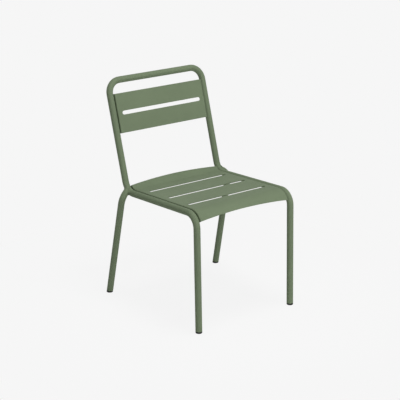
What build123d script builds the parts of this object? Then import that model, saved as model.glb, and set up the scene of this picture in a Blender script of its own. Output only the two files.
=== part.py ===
from build123d import *
import os
from math import cos, radians, sin, sqrt, tan

os.makedirs("parts", exist_ok=True)

# Stacking chair of bent aluminium tube with a sheet seat and a sheet back.
# Millimetres, +Z up, the front is -Y and the sitter's left is +X.
# The origin is on the floor, under the middle of the chair.

# Tube of the frame and of the rear legs
tube_diameter = 25.0
tube_wall = 2.0
bend_radius = 50.0

# Side view of the frame, measured on the tube's centre line
overall_height = 840.0
overall_depth = 595.0
side_spacing = 436.8
front_corner_height = 448.7
front_leg_lean = 12.7
rail_run = 436.5
rail_fall = 26.2

# Rear legs, their feet placed from the frame's side and from the back's line
rear_foot_outside_frame = 43.9
rear_foot_ahead_of_back = 48.7
leg_end_rise_angle = 18.8
leg_end_back_angle = 18.8
leg_end_straight = 2.7
cope_gap = 0.1

# Sheet of the seat and of the back, folded to a flange along both tubes
sheet_thickness = 3.0
sheet_edge_radius = 0.6
fold_inner_radius = 1.0
flange_depth = 12.0
slot_width = 14.5
sheet_side_gap = 1.5

# Seat pan
pan_above_tube_centre = 11.5
front_lip_angle_side = 25.0
front_lip_angle_middle = 35.0
rear_lip_angle_side = 50.0
rear_lip_angle_middle = 65.9
seat_slot_end_margin = 24.1
seat_slot_pitch = 122.0
seat_slot_behind_middle = 4.3

# Back panel
panel_height = 150.8
hand_gap = 37.8
panel_ahead_of_tube_centre = 11.0
panel_slot_end_margin = 21.0

# Stiffening bars under the seat
bar_width = 25.0
bar_height = 15.0
bar_wall = 1.5
bar_corner_radius = 2.5
bar_behind_slot = 65.0
bar_end_gap = 0.2

# Glides, and how high the lowest edge of each leg's cut end is above the floor
front_leg_end_height = 6.65
rear_leg_end_height = 6.2
glide_plug_length = 22.0
glide_plug_clearance = 0.1
glide_edge_radius = 2.0

# Weld beads
leg_bead = 2.5
bead_radius = 2.0
seat_bead_length = 40.0
seat_bead_pitch = 130.0
seat_bead_count = 3
panel_bead_length = 36.0
panel_bead_pitch = 84.0
bar_bead_length = 30.0
bar_bead_pitch = 120.0
bar_bead_count = 3

tube_radius = tube_diameter / 2
tube_bore_radius = tube_radius - tube_wall
side_x = side_spacing / 2
sheet_half_width = side_x - tube_radius - sheet_side_gap
fold_radius = fold_inner_radius + sheet_thickness

# Corners of the frame's centre line in the side view
front_foot = Vector(-(overall_depth - tube_diameter) / 2, 0)
front_corner = Vector(front_foot.X + front_leg_lean, front_corner_height)
rear_corner = front_corner + Vector(rail_run, -rail_fall)
top_corner = Vector((overall_depth - tube_diameter) / 2, overall_height - tube_radius)
leg_line = (front_corner - front_foot).normalized()
rail_line = (rear_corner - front_corner).normalized()
post_line = (top_corner - rear_corner).normalized()


# Left hand normal of a line in the side view
def left_of(line):
    return Vector(-line.Y, line.X)


# Distance from a corner to the start of its bend
def bend_setback(line_in, line_out):
    return bend_radius * tan(radians(line_in.get_angle(line_out)) / 2)


front_setback = bend_setback(leg_line, rail_line)
rear_setback = bend_setback(rail_line, post_line)
rear_bend_turn = rail_line.get_angle(post_line)
front_bend_centre = front_corner - leg_line * front_setback - left_of(leg_line) * bend_radius
rear_bend_centre = rear_corner - rail_line * rear_setback + left_of(rail_line) * bend_radius
rail_length = (rear_corner - front_corner).length


# A line of the side view turned by an angle
def turned(line, angle):
    return Vector(
        line.X * cos(radians(angle)) - line.Y * sin(radians(angle)),
        line.X * sin(radians(angle)) + line.Y * cos(radians(angle)),
    )


# A side view point placed in the chair at a distance from its middle plane
def in_chair(point, x):
    return Vector(x, point.X, point.Y)


# Solid round bar along a path
def bar_along(path, radius):
    with BuildPart() as bar:
        with BuildSketch(Plane(origin=path @ 0, z_dir=path % 0)):
            Circle(radius)
        sweep(path=path)
    return bar.part


# Distance along a leg from the floor to its cut end
def foot_to_end(line, end_height):
    return (end_height + tube_radius * sqrt(1 - line.Z**2)) / line.Z


# Frame tube, one length bent into both front legs, seat rails, back posts and top rail
front_foot_to_end = foot_to_end(in_chair(leg_line, 0), front_leg_end_height)
tube_foot = front_foot + leg_line * front_foot_to_end
side_points = [tube_foot, front_corner, rear_corner, top_corner]
with BuildLine() as frame_line:
    FilletPolyline(
        [in_chair(point, side_x) for point in side_points]
        + [in_chair(point, -side_x) for point in reversed(side_points)],
        radius=bend_radius,
    )
frame_path = frame_line.wire()
frame_bar = bar_along(frame_path, tube_radius)

with BuildPart() as frame_tube:
    with BuildSketch(Plane(origin=frame_path @ 0, z_dir=frame_path % 0)):
        Circle(tube_radius)
        Circle(tube_bore_radius, mode=Mode.SUBTRACT)
    sweep(path=frame_path)
frame_tube.part.label = "frame_tube"
export_step(frame_tube.part, "parts/frame_tube.step")

# Rear leg, bent inward at the top and coped to the middle of the frame's rear bend
bend_middle = rear_bend_centre - left_of(turned(rail_line, rear_bend_turn / 2)) * bend_radius
leg_target = in_chair(bend_middle, side_x)
leg_foot = Vector(side_x + rear_foot_outside_frame, top_corner.X - rear_foot_ahead_of_back, 0)
leg_end_line = Vector(
    -cos(radians(leg_end_rise_angle)) * cos(radians(leg_end_back_angle)),
    cos(radians(leg_end_rise_angle)) * sin(radians(leg_end_back_angle)),
    sin(radians(leg_end_rise_angle)),
)
# The corner lies back along the end's line by the bend's own setback, which depends on the corner
leg_corner = leg_target - leg_end_line * bend_radius
for step in range(8):
    leg_turn = (leg_corner - leg_foot).get_angle(leg_end_line)
    leg_setback = bend_radius * tan(radians(leg_turn) / 2)
    leg_corner = leg_target - leg_end_line * (leg_setback + leg_end_straight)
rear_leg_line = (leg_corner - leg_foot).normalized()
rear_foot_to_end = foot_to_end(rear_leg_line, rear_leg_end_height)
with BuildLine() as leg_curve:
    FilletPolyline(
        leg_foot + rear_leg_line * rear_foot_to_end,
        leg_corner,
        leg_target,
        radius=bend_radius,
    )
leg_path = leg_curve.wire()
leg_bar = bar_along(leg_path, tube_radius)

# Stretch of the frame's centre line that the leg meets
with BuildLine() as joint_line:
    FilletPolyline(
        in_chair(rear_corner - rail_line * (rear_setback + tube_diameter), side_x),
        in_chair(rear_corner, side_x),
        in_chair(rear_corner + post_line * (rear_setback + tube_diameter), side_x),
        radius=bend_radius,
    )
joint_path = joint_line.wire()

with BuildPart() as rear_leg_left:
    with BuildSketch(Plane(origin=leg_path @ 0, z_dir=leg_path % 0)):
        Circle(tube_radius)
        Circle(tube_bore_radius, mode=Mode.SUBTRACT)
    sweep(path=leg_path)
    add(bar_along(joint_path, tube_radius + cope_gap), mode=Mode.SUBTRACT)
rear_leg_left.part.label = "rear_leg_left"
export_step(rear_leg_left.part, "parts/rear_leg_left.step")

with BuildPart() as rear_leg_right:
    mirror(rear_leg_left.part, about=Plane.YZ)
rear_leg_right.part.label = "rear_leg_right"
export_step(rear_leg_right.part, "parts/rear_leg_right.step")

# Weld bead round the coped end of each rear leg, on the outer half of the frame tube
outer_third = Plane(origin=(side_x + tube_radius / 3, 0, 0), z_dir=(1, 0, 0))
with BuildPart() as rear_leg_weld_left:
    add(bar_along(leg_path, tube_radius + leg_bead))
    split(bisect_by=outer_third, keep=Keep.TOP)
    add(bar_along(joint_path, tube_radius + leg_bead), mode=Mode.INTERSECT)
    add(leg_bar, mode=Mode.SUBTRACT)
    add(bar_along(joint_path, tube_radius), mode=Mode.SUBTRACT)
rear_leg_weld_left.part.label = "rear_leg_weld_left"
export_step(rear_leg_weld_left.part, "parts/rear_leg_weld_left.step")

with BuildPart() as rear_leg_weld_right:
    mirror(rear_leg_weld_left.part, about=Plane.YZ)
rear_leg_weld_right.part.label = "rear_leg_weld_right"
export_step(rear_leg_weld_right.part, "parts/rear_leg_weld_right.step")


# Channel section of a folded sheet at the start of its path, its face at a height over the tubes' centre
def channel(path, height):
    foot = height - flange_depth
    inside = sheet_half_width - sheet_thickness
    with BuildSketch(Plane(origin=path @ 0, x_dir=(-1, 0, 0), z_dir=path % 0)) as section:
        with BuildLine():
            outer = FilletPolyline(
                (-sheet_half_width, foot),
                (-sheet_half_width, height),
                (sheet_half_width, height),
                (sheet_half_width, foot),
                radius=fold_radius,
            )
            inner = FilletPolyline(
                (-inside, foot),
                (-inside, height - sheet_thickness),
                (inside, height - sheet_thickness),
                (inside, foot),
                radius=fold_inner_radius,
            )
            Line(outer @ 0, inner @ 0)
            Line(outer @ 1, inner @ 1)
        make_face()
    return section.sketch


# Seat pan, one sheet that follows the rails over the front bend and up the rear bend
with BuildLine() as pan_line:
    FilletPolyline(
        in_chair(front_corner - leg_line * (front_setback + tube_diameter), 0),
        in_chair(front_corner, 0),
        in_chair(rear_corner, 0),
        in_chair(rear_corner + post_line * (rear_setback + tube_diameter), 0),
        radius=bend_radius,
    )
pan_path = pan_line.wire()


# Plane that touches the seat's upper face on a bend, its Y axis running to the rear along the seat
def lip_plane(centre, tangent, radius):
    outward = left_of(tangent)
    return Plane(
        origin=in_chair(centre + outward * radius, 0),
        x_dir=(1, 0, 0),
        z_dir=in_chair(outward, 0),
    )


front_lip_middle = (front_lip_angle_side + front_lip_angle_middle) / 2
front_lip_plane = lip_plane(
    front_bend_centre,
    turned(leg_line, -front_lip_middle),
    bend_radius + pan_above_tube_centre,
)
front_lip_half_rise = (bend_radius + pan_above_tube_centre) * sin(
    radians(front_lip_angle_middle - front_lip_middle)
)
rear_lip_middle = (rear_lip_angle_side + rear_lip_angle_middle) / 2
rear_lip_plane = lip_plane(
    rear_bend_centre,
    turned(rail_line, rear_lip_middle),
    pan_above_tube_centre - bend_radius,
)
rear_lip_half_rise = (bend_radius - pan_above_tube_centre) * sin(
    radians(rear_lip_angle_middle - rear_lip_middle)
)
seat_plane = Plane(
    origin=in_chair(front_corner + left_of(rail_line) * pan_above_tube_centre, 0),
    x_dir=(1, 0, 0),
    z_dir=in_chair(left_of(rail_line), 0),
)
slot_rows = [rail_length / 2 + seat_slot_behind_middle + seat_slot_pitch * row for row in (-1, 0, 1)]

with BuildPart() as seat_pan:
    add(channel(pan_path, pan_above_tube_centre))
    sweep(path=pan_path)
    # The front edge rises and the rear edge reaches back in the middle, each along an arc
    for plane, half_rise, beyond in (
        (front_lip_plane, front_lip_half_rise, -2 * bend_radius),
        (rear_lip_plane, rear_lip_half_rise, 2 * bend_radius),
    ):
        with BuildSketch(plane):
            with BuildLine():
                lip = ThreePointArc(
                    (-sheet_half_width, -half_rise), (0, half_rise), (sheet_half_width, -half_rise)
                )
                Polyline(
                    lip @ 0,
                    (-side_spacing, -half_rise),
                    (-side_spacing, beyond),
                    (side_spacing, beyond),
                    (side_spacing, -half_rise),
                    lip @ 1,
                )
            make_face()
        extrude(amount=bend_radius, both=True, mode=Mode.SUBTRACT)
    with BuildSketch(seat_plane):
        with Locations(*[(0, row) for row in slot_rows]):
            SlotOverall(2 * (sheet_half_width - seat_slot_end_margin), slot_width)
    extrude(amount=-2 * sheet_thickness, mode=Mode.SUBTRACT)
    fillet(seat_pan.edges(Select.LAST).filter_by(seat_plane), radius=sheet_edge_radius)
seat_pan.part.label = "seat_pan"
export_step(seat_pan.part, "parts/seat_pan.step")

# Back panel, a sheet between the posts with one long slot, below the hand gap under the top rail
post_length = (top_corner - rear_corner).length
panel_middle_up_post = post_length - tube_radius - hand_gap - panel_height / 2
panel_middle = rear_corner + post_line * panel_middle_up_post
panel_plane = Plane(
    origin=in_chair(panel_middle + left_of(post_line) * panel_ahead_of_tube_centre, 0),
    x_dir=(1, 0, 0),
    z_dir=in_chair(left_of(post_line), 0),
)
with BuildLine() as panel_line:
    Line(
        in_chair(panel_middle - post_line * (panel_height / 2), 0),
        in_chair(panel_middle + post_line * (panel_height / 2), 0),
    )
panel_path = panel_line.wire()
with BuildPart() as back_panel:
    add(channel(panel_path, panel_ahead_of_tube_centre))
    sweep(path=panel_path)
    panel_ends = back_panel.faces().filter_by(Axis(panel_path @ 0, panel_path % 0))
    fillet(panel_ends.edges(), radius=sheet_edge_radius)
    with BuildSketch(panel_plane):
        SlotOverall(2 * (sheet_half_width - panel_slot_end_margin), slot_width)
    extrude(amount=-2 * sheet_thickness, mode=Mode.SUBTRACT)
    fillet(back_panel.edges(Select.LAST).filter_by(panel_plane), radius=sheet_edge_radius)
back_panel.part.label = "back_panel"
export_step(back_panel.part, "parts/back_panel.step")

# Stiffening bars, rectangular tube across the underside of the seat between the slots
bar_length = 2 * (sheet_half_width - fold_radius - bar_end_gap)
bar_inner_radius = bar_corner_radius - bar_wall


# One bar with its top face against the sheet, at a distance along the rail
def seat_bar(along):
    middle = (
        front_corner
        + rail_line * along
        + left_of(rail_line) * (pan_above_tube_centre - sheet_thickness - bar_height / 2)
    )
    section_plane = Plane(
        origin=in_chair(middle, 0), x_dir=in_chair(rail_line, 0), z_dir=(1, 0, 0)
    )
    with BuildPart() as bar:
        with BuildSketch(section_plane):
            RectangleRounded(bar_width, bar_height, bar_corner_radius)
            RectangleRounded(
                bar_width - 2 * bar_wall, bar_height - 2 * bar_wall, bar_inner_radius, mode=Mode.SUBTRACT
            )
        extrude(amount=bar_length / 2, both=True)
    return bar.part


bar_rows = [row + bar_behind_slot for row in slot_rows[:2]]
with BuildPart() as seat_bar_front:
    add(seat_bar(bar_rows[0]))
seat_bar_front.part.label = "seat_bar_front"
export_step(seat_bar_front.part, "parts/seat_bar_front.step")

with BuildPart() as seat_bar_rear:
    add(seat_bar(bar_rows[1]))
seat_bar_rear.part.label = "seat_bar_rear"
export_step(seat_bar_rear.part, "parts/seat_bar_rear.step")


# Straight weld bead, a round bar of set length about a middle point
def bead(middle, line, length):
    with BuildPart() as run:
        with BuildSketch(Plane(origin=middle - line * (length / 2), z_dir=line)):
            Circle(bead_radius)
        extrude(amount=length)
    return run.part


# Seat welds, short beads in the groove under each flange
seat_bead_middle = (
    front_corner
    + rail_line * (rail_length / 2)
    + left_of(rail_line) * (pan_above_tube_centre - flange_depth - bead_radius / 2)
)
with BuildPart() as seat_weld_left:
    for number in range(seat_bead_count):
        shift = (number - (seat_bead_count - 1) / 2) * seat_bead_pitch
        add(
            bead(
                in_chair(seat_bead_middle + rail_line * shift, sheet_half_width),
                in_chair(rail_line, 0),
                seat_bead_length,
            )
        )
    add(frame_bar, mode=Mode.SUBTRACT)
    add(seat_pan.part, mode=Mode.SUBTRACT)
seat_weld_left.part.label = "seat_weld_left"
export_step(seat_weld_left.part, "parts/seat_weld_left.step")

with BuildPart() as seat_weld_right:
    mirror(seat_weld_left.part, about=Plane.YZ)
seat_weld_right.part.label = "seat_weld_right"
export_step(seat_weld_right.part, "parts/seat_weld_right.step")

# Back panel welds, two short beads in the groove behind each flange
panel_bead_middle = panel_middle + left_of(post_line) * (
    panel_ahead_of_tube_centre - flange_depth - bead_radius / 2
)
with BuildPart() as back_panel_weld_left:
    for shift in (-panel_bead_pitch / 2, panel_bead_pitch / 2):
        add(
            bead(
                in_chair(panel_bead_middle + post_line * shift, sheet_half_width),
                in_chair(post_line, 0),
                panel_bead_length,
            )
        )
    add(frame_bar, mode=Mode.SUBTRACT)
    add(back_panel.part, mode=Mode.SUBTRACT)
back_panel_weld_left.part.label = "back_panel_weld_left"
export_step(back_panel_weld_left.part, "parts/back_panel_weld_left.step")

with BuildPart() as back_panel_weld_right:
    mirror(back_panel_weld_left.part, about=Plane.YZ)
back_panel_weld_right.part.label = "back_panel_weld_right"
export_step(back_panel_weld_right.part, "parts/back_panel_weld_right.step")


# Bar welds, short beads in the corner behind a stiffening bar
def bar_beads(along):
    middle = (
        front_corner
        + rail_line * (along + bar_width / 2 + bead_radius / 2)
        + left_of(rail_line) * (pan_above_tube_centre - sheet_thickness - bead_radius / 2)
    )
    with BuildPart() as beads:
        for number in range(bar_bead_count):
            shift = (number - (bar_bead_count - 1) / 2) * bar_bead_pitch
            add(bead(in_chair(middle, shift), Vector(1, 0, 0), bar_bead_length))
        add(seat_bar(along), mode=Mode.SUBTRACT)
        add(seat_pan.part, mode=Mode.SUBTRACT)
    return beads.part


with BuildPart() as seat_bar_weld_front:
    add(bar_beads(bar_rows[0]))
seat_bar_weld_front.part.label = "seat_bar_weld_front"
export_step(seat_bar_weld_front.part, "parts/seat_bar_weld_front.step")

with BuildPart() as seat_bar_weld_rear:
    add(bar_beads(bar_rows[1]))
seat_bar_weld_rear.part.label = "seat_bar_weld_rear"
export_step(seat_bar_weld_rear.part, "parts/seat_bar_weld_rear.step")


# Glide, a plastic plug in the end of a leg, its foot level with the floor
def glide(foot, line, to_end):
    with BuildPart() as plug:
        with BuildSketch(Plane(origin=foot - line * tube_radius, z_dir=line)):
            Circle(tube_radius)
        extrude(amount=tube_radius + to_end)
        with BuildSketch(Plane(origin=foot + line * to_end, z_dir=line)):
            Circle(tube_bore_radius - glide_plug_clearance)
        extrude(amount=glide_plug_length)
        split(bisect_by=Plane.XY, keep=Keep.TOP)
        fillet(plug.faces().sort_by(Axis.Z)[0].edges(), radius=glide_edge_radius)
    return plug.part


with BuildPart() as glide_front_left:
    add(glide(in_chair(front_foot, side_x), in_chair(leg_line, 0), front_foot_to_end))
glide_front_left.part.label = "glide_front_left"
export_step(glide_front_left.part, "parts/glide_front_left.step")

with BuildPart() as glide_front_right:
    mirror(glide_front_left.part, about=Plane.YZ)
glide_front_right.part.label = "glide_front_right"
export_step(glide_front_right.part, "parts/glide_front_right.step")

with BuildPart() as glide_rear_left:
    add(glide(leg_foot, rear_leg_line, rear_foot_to_end))
glide_rear_left.part.label = "glide_rear_left"
export_step(glide_rear_left.part, "parts/glide_rear_left.step")

with BuildPart() as glide_rear_right:
    mirror(glide_rear_left.part, about=Plane.YZ)
glide_rear_right.part.label = "glide_rear_right"
export_step(glide_rear_right.part, "parts/glide_rear_right.step")
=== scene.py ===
import math
import bpy
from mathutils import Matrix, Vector


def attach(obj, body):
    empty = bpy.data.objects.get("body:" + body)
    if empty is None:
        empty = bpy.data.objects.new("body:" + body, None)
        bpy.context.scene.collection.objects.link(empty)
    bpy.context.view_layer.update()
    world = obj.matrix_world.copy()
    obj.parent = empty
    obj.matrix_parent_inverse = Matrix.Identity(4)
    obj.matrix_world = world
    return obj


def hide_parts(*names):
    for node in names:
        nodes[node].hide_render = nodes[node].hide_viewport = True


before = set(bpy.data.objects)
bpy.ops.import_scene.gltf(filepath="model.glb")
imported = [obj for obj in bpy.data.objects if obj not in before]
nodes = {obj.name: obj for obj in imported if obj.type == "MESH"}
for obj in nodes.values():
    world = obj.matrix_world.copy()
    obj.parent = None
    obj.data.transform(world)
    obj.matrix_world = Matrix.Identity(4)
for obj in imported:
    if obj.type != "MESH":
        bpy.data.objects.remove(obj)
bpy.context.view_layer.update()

scene = bpy.context.scene
scene.view_settings.view_transform = "Standard"
print("frame loaded,", len(nodes), "nodes")


# small helpers for node trees
def newMaterial(name):
    material = bpy.data.materials.new(name)
    material.use_nodes = True
    material.node_tree.nodes.clear()
    return material, material.node_tree.nodes, material.node_tree.links


def addNode(tree, kind, **values):
    node = tree.new(kind)
    for key, value in values.items():
        if key in node.inputs:
            node.inputs[key].default_value = value
        else:
            setattr(node, key, value)
    return node


def noiseOn(tree, links, place, **values):
    noise = addNode(tree, "ShaderNodeTexNoise", **values)
    links.new(place, noise.inputs["Vector"])
    return noise.outputs["Fac"]


# one tone below the first level of a value, the other above the second, a soft change between
def twoTones(tree, links, value, levels, tones):
    ramp = addNode(tree, "ShaderNodeValToRGB")
    for stop, level, tone in zip(ramp.color_ramp.elements, levels, tones):
        stop.position = level
        stop.color = tone
    links.new(value, ramp.inputs["Fac"])
    return ramp.outputs["Color"]


# carries a value from one range over to another
def newRange(tree, links, value, old, new, shape="LINEAR"):
    node = addNode(tree, "ShaderNodeMapRange", interpolation_type=shape)
    for socket, number in zip(("From Min", "From Max", "To Min", "To Max"), old + new):
        node.inputs[socket].default_value = number
    links.new(value, node.inputs["Value"])
    return node.outputs["Result"]


def bumpFrom(tree, links, height, **values):
    bump = addNode(tree, "ShaderNodeBump", **values)
    links.new(height, bump.inputs["Height"])
    return bump


def finishSurface(tree, links, colour, rough, bump, gloss):
    shader = addNode(tree, "ShaderNodeBsdfPrincipled")
    shader.inputs["Specular IOR Level"].default_value = gloss
    links.new(colour, shader.inputs["Base Color"])
    links.new(rough, shader.inputs["Roughness"])
    links.new(bump.outputs["Normal"], shader.inputs["Normal"])
    out = addNode(tree, "ShaderNodeOutputMaterial")
    links.new(shader.outputs["BSDF"], out.inputs["Surface"])


# powder coat, matt sage green over tube and sheet, scales per metre and heights in metres
coatSettings = {
    "deepGreen": (0.162, 0.2095, 0.1265, 1),
    "paleGreen": (0.174, 0.2235, 0.1355, 1),
    "drift": {"Scale": 9.0, "Detail": 3.0, "Roughness": 0.5},           # slow change of colour
    "driftLevels": (0.35, 0.65),
    "grain": {"Scale": 1400.0, "Detail": 2.0, "Roughness": 0.55},       # orange peel
    "grainLevels": (0.3, 0.7),
    "grainBump": {"Strength": 0.35, "Distance": 0.00006},
    "roughness": (0.66, 0.78),
    "gloss": 0.25,
    "stray": {"Scale": 160.0, "Detail": 1.0},                           # uneven steps of the weld ripples
    "rippleBump": {"Strength": 0.8, "Distance": 0.0004},
}


# how far along a straight weld bead a point is, in ripples
def beadCount(tree, links, place, line, pitch):
    along = addNode(tree, "ShaderNodeVectorMath", operation="DOT_PRODUCT")
    links.new(place, along.inputs[0])
    along.inputs[1].default_value = Vector(line).normalized() / pitch
    return along.outputs["Value"]


# how far round a weld ring a point is, in ripples
def ringCount(tree, links, place, centre, axis, count):
    sideA = Vector(axis).orthogonal().normalized()
    sideB = Vector(axis).normalized().cross(sideA)
    out = addNode(tree, "ShaderNodeVectorMath", operation="SUBTRACT")
    links.new(place, out.inputs[0])
    out.inputs[1].default_value = centre
    angle = addNode(tree, "ShaderNodeMath", operation="ARCTAN2")
    for socket, side in ((0, sideA), (1, sideB)):
        share = addNode(tree, "ShaderNodeVectorMath", operation="DOT_PRODUCT")
        links.new(out.outputs["Vector"], share.inputs[0])
        share.inputs[1].default_value = side
        links.new(share.outputs["Value"], angle.inputs[socket])
    turns = addNode(tree, "ShaderNodeMath", operation="MULTIPLY")
    links.new(angle.outputs["Value"], turns.inputs[0])
    turns.inputs[1].default_value = count / (2 * math.pi)
    return turns.outputs["Value"]


# weld ripples, each one a step that rises softly and ends short
def weldRipples(tree, links, place, weld, settings):
    ripple = ringCount if "centre" in weld else beadCount
    shifted = addNode(tree, "ShaderNodeMath", operation="ADD")
    links.new(ripple(tree, links, place, **weld), shifted.inputs[0])
    links.new(noiseOn(tree, links, place, **settings["stray"]), shifted.inputs[1])
    step = addNode(tree, "ShaderNodeMath", operation="FRACT")
    links.new(shifted.outputs["Value"], step.inputs[0])
    wave = newRange(tree, links, step.outputs["Value"], (0, 1), (0, 1), "SMOOTHERSTEP")
    return bumpFrom(tree, links, wave, **settings["rippleBump"])


def sageCoat(name, settings, weld=None):
    material, tree, links = newMaterial(name)
    place = addNode(tree, "ShaderNodeTexCoord").outputs["Object"]
    drift = noiseOn(tree, links, place, **settings["drift"])
    greens = (settings["deepGreen"], settings["paleGreen"])
    colour = twoTones(tree, links, drift, settings["driftLevels"], greens)
    grain = noiseOn(tree, links, place, **settings["grain"])
    rough = newRange(tree, links, grain, settings["grainLevels"], settings["roughness"])
    bump = bumpFrom(tree, links, grain, **settings["grainBump"])
    if weld:
        ripples = weldRipples(tree, links, place, weld, settings)
        links.new(ripples.outputs["Normal"], bump.inputs["Normal"])
    finishSurface(tree, links, colour, rough, bump, settings["gloss"])
    return material


# moulded black plastic of the glides
plasticSettings = {
    "black": (0.010, 0.010, 0.010, 1),
    "greyBlack": (0.016, 0.016, 0.015, 1),
    "grain": {"Scale": 1800.0, "Detail": 2.0, "Roughness": 0.6},
    "grainLevels": (0.4, 0.7),
    "grainBump": {"Strength": 0.3, "Distance": 0.00004},
    "roughness": (0.52, 0.68),
    "gloss": 0.2,
}


def blackPlastic(name, settings):
    material, tree, links = newMaterial(name)
    place = addNode(tree, "ShaderNodeTexCoord").outputs["Object"]
    grain = noiseOn(tree, links, place, **settings["grain"])
    blacks = (settings["black"], settings["greyBlack"])
    colour = twoTones(tree, links, grain, settings["grainLevels"], blacks)
    rough = newRange(tree, links, grain, (0, 1), settings["roughness"])
    bump = bumpFrom(tree, links, grain, **settings["grainBump"])
    finishSurface(tree, links, colour, rough, bump, settings["gloss"])
    return material


def dress(node, material):
    node.data.materials.clear()
    node.data.materials.append(material)


# lines and rings that the weld beads follow, as in the part's source, in metres
weldSettings = {
    "seat_weld": {"line": (0, 0.9982, -0.0599), "pitch": 0.0034},
    "back_panel_weld": {"line": (0, 0.2858, 0.9583), "pitch": 0.0034},
    "seat_bar_weld": {"line": (1, 0, 0), "pitch": 0.0034},
    "rear_leg_weld_left": {
        "centre": (0.2184, 0.1563, 0.4338), "axis": (-0.896, 0.305, 0.322), "count": 26},
    "rear_leg_weld_right": {
        "centre": (-0.2184, 0.1563, 0.4338), "axis": (0.896, 0.305, 0.322), "count": 26},
}
tubeCoat = sageCoat("tubeCoat", coatSettings)
sheetCoat = sageCoat("sheetCoat", coatSettings)
glidePlastic = blackPlastic("glidePlastic", plasticSettings)
weldCoats = {key: sageCoat(key + "Coat", coatSettings, weld) for key, weld in weldSettings.items()}
for name, node in nodes.items():
    weldKeys = [key for key in weldCoats if name.startswith(key)]
    if weldKeys:
        dress(node, weldCoats[weldKeys[0]])
    elif "glide" in name:
        dress(node, glidePlastic)
    elif name in ("seat_pan", "back_panel"):
        dress(node, sheetCoat)
    else:
        dress(node, tubeCoat)
print("materials on", len(nodes), "nodes")


# moulded glide of a leg: collar under the tube, tapered plug inside it, hollow sole
glideSettings = {
    "sides": 96,
    "radius": 0.0125,
    "grooveRadius": 0.0121,
    "grooveTop": 0.0006,        # below the tube's end
    "grooveHeight": 0.0011,
    "plugRadius": 0.0103,
    "plugLength": 0.022,
    "tipLength": 0.003,
    "tipRadius": 0.0094,
    "soleBevel": 0.0016,
    "soleBevelSteps": 4,
    "soleRim": 0.0035,
    "soleHollow": 0.0008,
    "soleFacing": -0.999,       # how far down a face looks that counts as the sole
    "soleCorners": 8,           # and it has more corners than this
    "creaseAngle": 32,          # degrees, sharper edges stay crisp
}


# extrudes the selected face along the axis and gives it a new radius
def raiseFace(rise, scale):
    bpy.ops.mesh.extrude_region_move(TRANSFORM_OT_translate={"value": (0, 0, rise)})
    bpy.ops.transform.resize(value=(scale, scale, 1))


# turns all faces outwards, in edit mode
def faceOutwards():
    bpy.ops.mesh.select_all(action="SELECT")
    bpy.ops.mesh.normals_make_consistent(inside=False)


# selects the flat face that stands on the floor
def selectSole(piece, settings):
    bpy.ops.mesh.select_all(action="DESELECT")
    bpy.ops.object.mode_set(mode="OBJECT")
    for face in piece.data.polygons:
        down = face.normal.z < settings["soleFacing"]
        face.select = down and len(face.vertices) > settings["soleCorners"]
    bpy.ops.object.mode_set(mode="EDIT")
    bpy.ops.mesh.select_mode(type="FACE")


def mouldGlide(name, foot, line, endAlong, settings):
    radius = settings["radius"]
    groove = settings["grooveRadius"] / radius
    plug = settings["plugRadius"] / radius
    slope = radius - settings["grooveRadius"]
    bpy.ops.object.select_all(action="DESELECT")
    bpy.ops.mesh.primitive_circle_add(
        vertices=settings["sides"], radius=radius, fill_type="NGON", location=(0, 0, 0))
    piece = bpy.context.object
    piece.name = name
    bpy.ops.object.mode_set(mode="EDIT")
    bpy.ops.mesh.select_all(action="SELECT")
    # collar, from a radius under the floor so that the floor cuts all of it
    raiseFace(radius + endAlong - settings["grooveTop"] - settings["grooveHeight"], 1)
    raiseFace(slope, groove)
    raiseFace(settings["grooveHeight"] - 2 * slope, 1)
    raiseFace(slope, 1 / groove)
    raiseFace(settings["grooveTop"], 1)
    # plug inside the tube
    raiseFace(0, plug)
    raiseFace(settings["plugLength"] - settings["tipLength"], 1)
    raiseFace(settings["tipLength"], settings["tipRadius"] / settings["plugRadius"])
    faceOutwards()
    bpy.ops.object.mode_set(mode="OBJECT")
    piece.rotation_euler = Vector((0, 0, 1)).rotation_difference(Vector(line)).to_euler()
    piece.location = Vector(foot) - radius * Vector(line).normalized()
    bpy.ops.object.transform_apply(location=True, rotation=True, scale=True)
    bpy.ops.object.mode_set(mode="EDIT")
    bpy.ops.mesh.select_all(action="SELECT")
    bpy.ops.mesh.bisect(plane_co=(0, 0, 0), plane_no=(0, 0, 1), use_fill=True, clear_inner=True)
    faceOutwards()
    selectSole(piece, settings)
    bpy.ops.mesh.bevel(offset=settings["soleBevel"], segments=settings["soleBevelSteps"], affect="EDGES")
    selectSole(piece, settings)
    bpy.ops.mesh.inset(thickness=settings["soleRim"], depth=0)
    bpy.ops.mesh.extrude_region_move(TRANSFORM_OT_translate={"value": (0, 0, settings["soleHollow"])})
    faceOutwards()
    bpy.ops.object.mode_set(mode="OBJECT")
    bpy.ops.object.shade_smooth_by_angle(angle=math.radians(settings["creaseAngle"]))
    piece.data.materials.append(glidePlastic)
    return piece


def mirrored(piece, name):
    bpy.ops.object.select_all(action="DESELECT")
    twin = piece.copy()
    twin.data = piece.data.copy()
    twin.name = name
    scene.collection.objects.link(twin)
    twin.select_set(True)
    bpy.context.view_layer.objects.active = twin
    twin.scale = (-1, 1, 1)
    bpy.ops.object.transform_apply(location=True, rotation=True, scale=True)
    bpy.ops.object.mode_set(mode="EDIT")
    faceOutwards()
    bpy.ops.object.mode_set(mode="OBJECT")
    return twin


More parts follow.
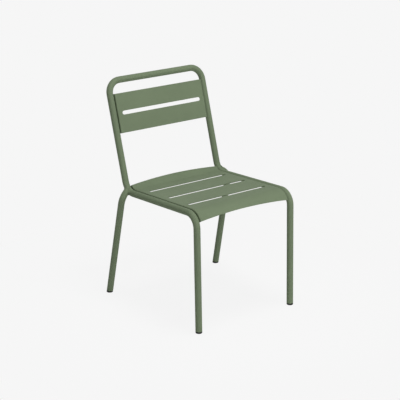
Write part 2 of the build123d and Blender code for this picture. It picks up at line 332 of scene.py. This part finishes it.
# feet, leg lines and tube ends as in the part's source, in metres
legSettings = {
    "front": {"foot": (0.2184, -0.285, 0), "line": (0, 0.028293, 0.9996), "endAlong": 0.007006},
    "rear": {"foot": (0.2623, 0.2363, 0), "line": (-0.016956, -0.21468, 0.976537), "endAlong": 0.009106},
}
for row, leg in legSettings.items():
    leftGlide = mouldGlide(row + "GlideLeft", settings=glideSettings, **leg)
    rightGlide = mirrored(leftGlide, row + "GlideRight")
    for piece, side in ((leftGlide, "left"), (rightGlide, "right")):
        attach(piece, "root")
        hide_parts("glide_" + row + "_" + side)
print("glides moulded")


def grey(level):
    return (level, level, level, 1)


# 1 where the eye looks, straight or by way of gloss or glass, 0 for the light that surfaces throw
def eyeRay(tree, links):
    ray = addNode(tree, "ShaderNodeLightPath")
    eye = ray.outputs["Is Camera Ray"]
    for way in ("Is Glossy Ray", "Is Transmission Ray"):
        either = addNode(tree, "ShaderNodeMath", operation="MAXIMUM")
        links.new(eye, either.inputs[0])
        links.new(ray.outputs[way], either.inputs[1])
        eye = either.outputs["Value"]
    return eye


def blend(tree, links, share, first, second):
    mix = addNode(tree, "ShaderNodeMixShader")
    links.new(share, mix.inputs["Fac"])
    links.new(first.outputs[0], mix.inputs[1])
    links.new(second.outputs[0], mix.inputs[2])
    return mix


# pale floor, its colour set for the eye, a darker one for the light that it throws back
floorSettings = {
    "halfSize": 60.0,
    "seen": 0.9216,             # the pale grey of the backdrop
    "shadowShare": 0.085,       # how much of the object's shadow the floor keeps
    "shadowNear": 0.4,          # kept in full up to here from the middle
    "shadowFar": 1.0,           # and not at all from here
    "glowNear": 0.949,          # makes up for the light that the floor's matt share lacks
    "bounce": 0.8,
}


def paleFloor(settings):
    bpy.ops.object.select_all(action="DESELECT")
    bpy.ops.mesh.primitive_plane_add(size=2 * settings["halfSize"], location=(0, 0, 0))
    floor = bpy.context.object
    floor.name = "floor"
    material, tree, links = newMaterial("paleFloor")
    place = addNode(tree, "ShaderNodeTexCoord")
    away = addNode(tree, "ShaderNodeVectorMath", operation="LENGTH")
    links.new(place.outputs["Object"], away.inputs[0])
    far = away.outputs["Value"]
    reach = (settings["shadowNear"], settings["shadowFar"])
    share = newRange(tree, links, far, reach, (settings["shadowShare"], 0), "SMOOTHSTEP")
    level = newRange(tree, links, far, reach, (settings["glowNear"], settings["seen"]), "SMOOTHSTEP")
    glow = addNode(tree, "ShaderNodeEmission")
    links.new(level, glow.inputs["Strength"])
    matt = addNode(tree, "ShaderNodeBsdfDiffuse", Color=grey(settings["seen"]))
    dull = addNode(tree, "ShaderNodeBsdfDiffuse", Color=grey(settings["bounce"]))
    seen = blend(tree, links, share, glow, matt)
    both = blend(tree, links, eyeRay(tree, links), dull, seen)
    out = addNode(tree, "ShaderNodeOutputMaterial")
    links.new(both.outputs["Shader"], out.inputs["Surface"])
    floor.data.materials.append(material)


paleFloor(floorSettings)
print("floor laid")


# soft studio light: a long lamp low in front, one overhead, weak ones at the left and behind, an even room
lightSettings = {
    "aim": (0, 0, 0.45),
    "lamps": {
        "front": {"place": (0.00, -3.90, 1.28), "size": (4.4, 2.2), "watts": 79.0},
        "overhead": {"place": (0.20, -0.65, 4.33), "size": (1.4, 1.4), "watts": 86.0},
        "left": {"place": (-3.68, 1.34, 1.28), "size": (2.2, 2.2), "watts": 9.6},
        "rear": {"place": (1.20, 3.80, 0.80), "size": (3.0, 1.2), "watts": 20.0},
    },
    "room": 0.15,
    "roomSeen": 0.9216,         # the backdrop's grey, as on the floor
}


def softLamp(name, aim, place, size, watts):
    bpy.ops.object.light_add(type="AREA", location=place)
    lamp = bpy.context.object
    lamp.name = name
    lamp.data.shape = "RECTANGLE"
    lamp.data.size = size[0]
    lamp.data.size_y = size[1]
    lamp.data.energy = watts
    lamp.rotation_euler = (Vector(aim) - Vector(place)).to_track_quat("-Z", "Y").to_euler()


def evenRoom(strength, seen):
    world = bpy.data.worlds.new("room")
    scene.world = world
    world.use_nodes = True
    tree = world.node_tree.nodes
    links = world.node_tree.links
    tree.clear()
    light = addNode(tree, "ShaderNodeBackground", Color=grey(1), Strength=strength)
    pale = addNode(tree, "ShaderNodeBackground", Color=grey(seen), Strength=1.0)
    both = blend(tree, links, eyeRay(tree, links), light, pale)
    out = addNode(tree, "ShaderNodeOutputWorld")
    links.new(both.outputs["Shader"], out.inputs["Surface"])


for lampName, lampSettings in lightSettings["lamps"].items():
    softLamp(lampName, lightSettings["aim"], **lampSettings)
evenRoom(lightSettings["room"], lightSettings["roomSeen"])
print("lights placed")


# camera at the photograph's angle
cameraSettings = {
    "target": (0, -0.0036, 0.3898),
    "distance": 4.8712,
    "azimuth": -37.17,          # degrees round from the front
    "elevation": 18.51,
    "lens": 115.28,             # millimetres, as is the sensor
    "sensorWidth": 36,
}


def placeCamera(settings):
    turn = math.radians(settings["azimuth"])
    rise = math.radians(settings["elevation"])
    back = Vector((math.sin(turn) * math.cos(rise), -math.cos(turn) * math.cos(rise), math.sin(rise)))
    bpy.ops.object.camera_add(location=Vector(settings["target"]) + settings["distance"] * back)
    camera = bpy.context.object
    camera.name = "camera"
    camera.data.lens = settings["lens"]
    camera.data.sensor_width = settings["sensorWidth"]
    camera.rotation_euler = (-back).to_track_quat("-Z", "Y").to_euler()
    scene.camera = camera


placeCamera(cameraSettings)
print("camera set")
